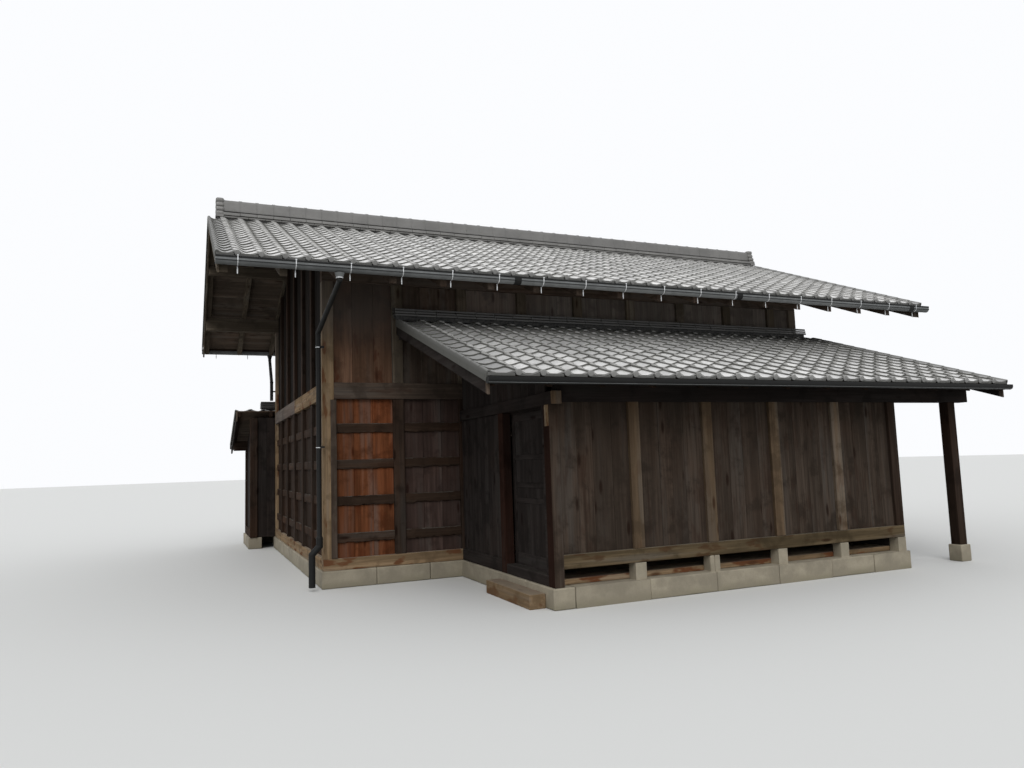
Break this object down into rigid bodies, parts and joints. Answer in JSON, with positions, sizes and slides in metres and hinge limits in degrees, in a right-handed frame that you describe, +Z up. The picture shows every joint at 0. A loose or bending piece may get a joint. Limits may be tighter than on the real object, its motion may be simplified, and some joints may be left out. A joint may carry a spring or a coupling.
{
  "type": "timber house with tiled gable roof and lean-tos",
  "caption": "Free-standing timber house with a tiled gable roof, a front lean-to with a sliding entrance door, a porch and a rear lean-to.",
  "frame": {"origin": "middle of the part's box, at ground level under the stone base", "axes": "+X along the ridge to the porch end, +Y from the front lean-to to the rear lean-to, +Z up"},
  "size_m": [11.526, 11.272, 6.0912],
  "materials": {
    "dark_wood": "weathered dark brown",
    "red_wood": "weathered red brown",
    "post_wood": "weathered tan",
    "sill_wood": "sun-bleached",
    "floor_wood": "planed boards",
    "roof_tile": "smoked clay tile",
    "gutter_metal": "dark grey paint",
    "stone": "rough cut stone"
  },
  "bodies": {
    "house": {"foundation": "stone", "main_sills": "sill_wood", "corner_posts": "post_wood", "wall_posts": "dark_wood", "mid_beams": "dark_wood", "eave_plates": "dark_wood", "purlins": "dark_wood", "main_floor": "floor_wood", "front_panels": "red_wood", "front_upper_wall": "dark_wood", "left_wall": "dark_wood", "right_wall": "dark_wood", "gable_walls": "dark_wood", "back_upper_wall": "dark_wood", "wall_rails": "red_wood", "rafters_front": "dark_wood", "rafters_back": "dark_wood", "roof_deck_front": "dark_wood", "roof_deck_back": "dark_wood", "roof_tiles_front": "roof_tile", "roof_tiles_back": "roof_tile", "ridge": "roof_tile", "ridge_end_tiles": "roof_tile", "bargeboards": "dark_wood", "gutters": "gutter_metal", "gutter_straps": "gutter_metal", "downpipes": "gutter_metal", "lean_to_posts": "dark_wood", "lean_to_sills": "sill_wood", "lean_to_plates": "dark_wood", "lean_to_walls": "dark_wood", "lean_to_floor": "floor_wood", "lean_to_rafters": "dark_wood", "lean_to_deck": "dark_wood", "lean_to_tiles": "roof_tile", "lean_to_bargeboards": "dark_wood", "flashings": "roof_tile", "door_frame": "post_wood", "door_step": "sill_wood", "rear_frame": "dark_wood", "rear_walls": "dark_wood", "rear_rafters": "dark_wood", "rear_deck": "dark_wood", "rear_tiles": "roof_tile"},
    "door": {"door_leaf": "dark_wood"}
  },
  "joints": [
    {"name": "door_slide", "type": "slide", "parent": "house", "child": "door", "axis": [0, 1, 0], "range_m": [0, 1.06]}
  ]
}
